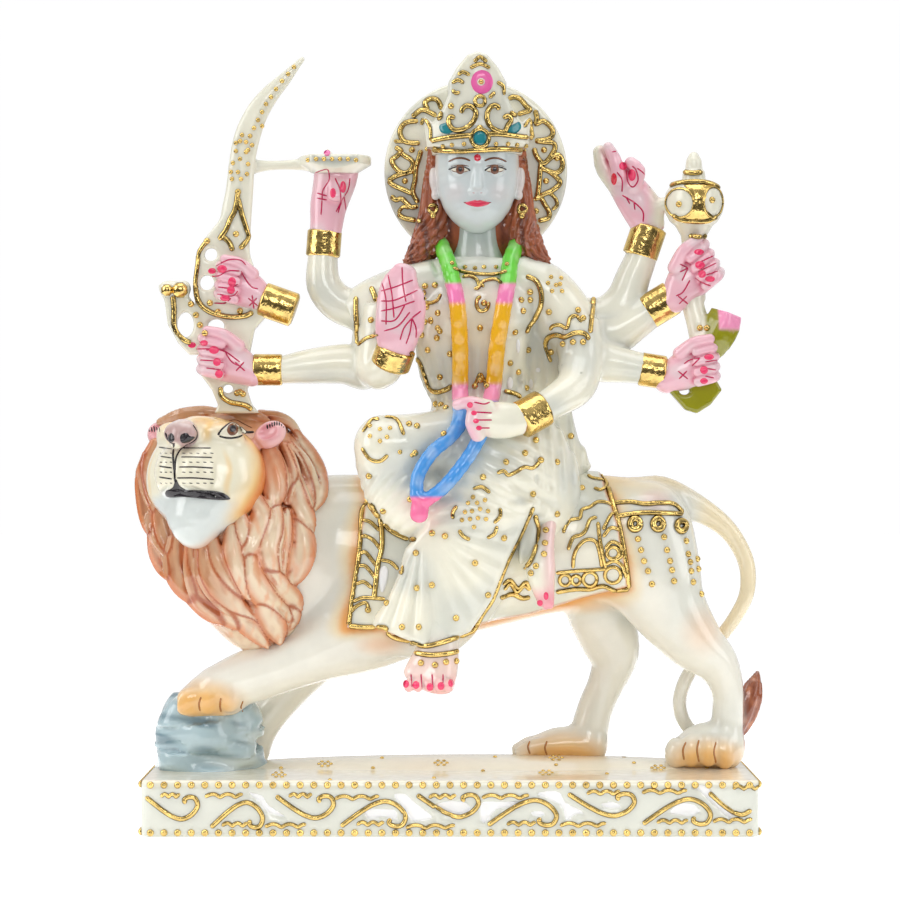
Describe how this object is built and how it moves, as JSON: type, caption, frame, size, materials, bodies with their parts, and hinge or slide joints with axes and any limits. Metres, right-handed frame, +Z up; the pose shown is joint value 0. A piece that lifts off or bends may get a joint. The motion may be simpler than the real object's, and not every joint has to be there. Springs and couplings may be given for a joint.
{
  "type": "durga figure",
  "caption": "Painted and gilded devotional figure of an eight-armed goddess seated on a standing lion, cast in one with its oblong plinth.",
  "frame": {"origin": "middle of the plinth's underside", "axes": "+Z up, +X towards the viewer's right along the plinth and the lion's tail, -Y towards the viewer, which the goddess faces"},
  "size_m": [0.2533, 0.0767, 0.307],
  "materials": {
    "marble": "polished white marble composite, hand painted in pink, brown, ochre and blue",
    "gold": "bright gilt relief"
  },
  "bodies": {
    "root": {"durga_figure": "marble"}
  },
  "joints": []
}
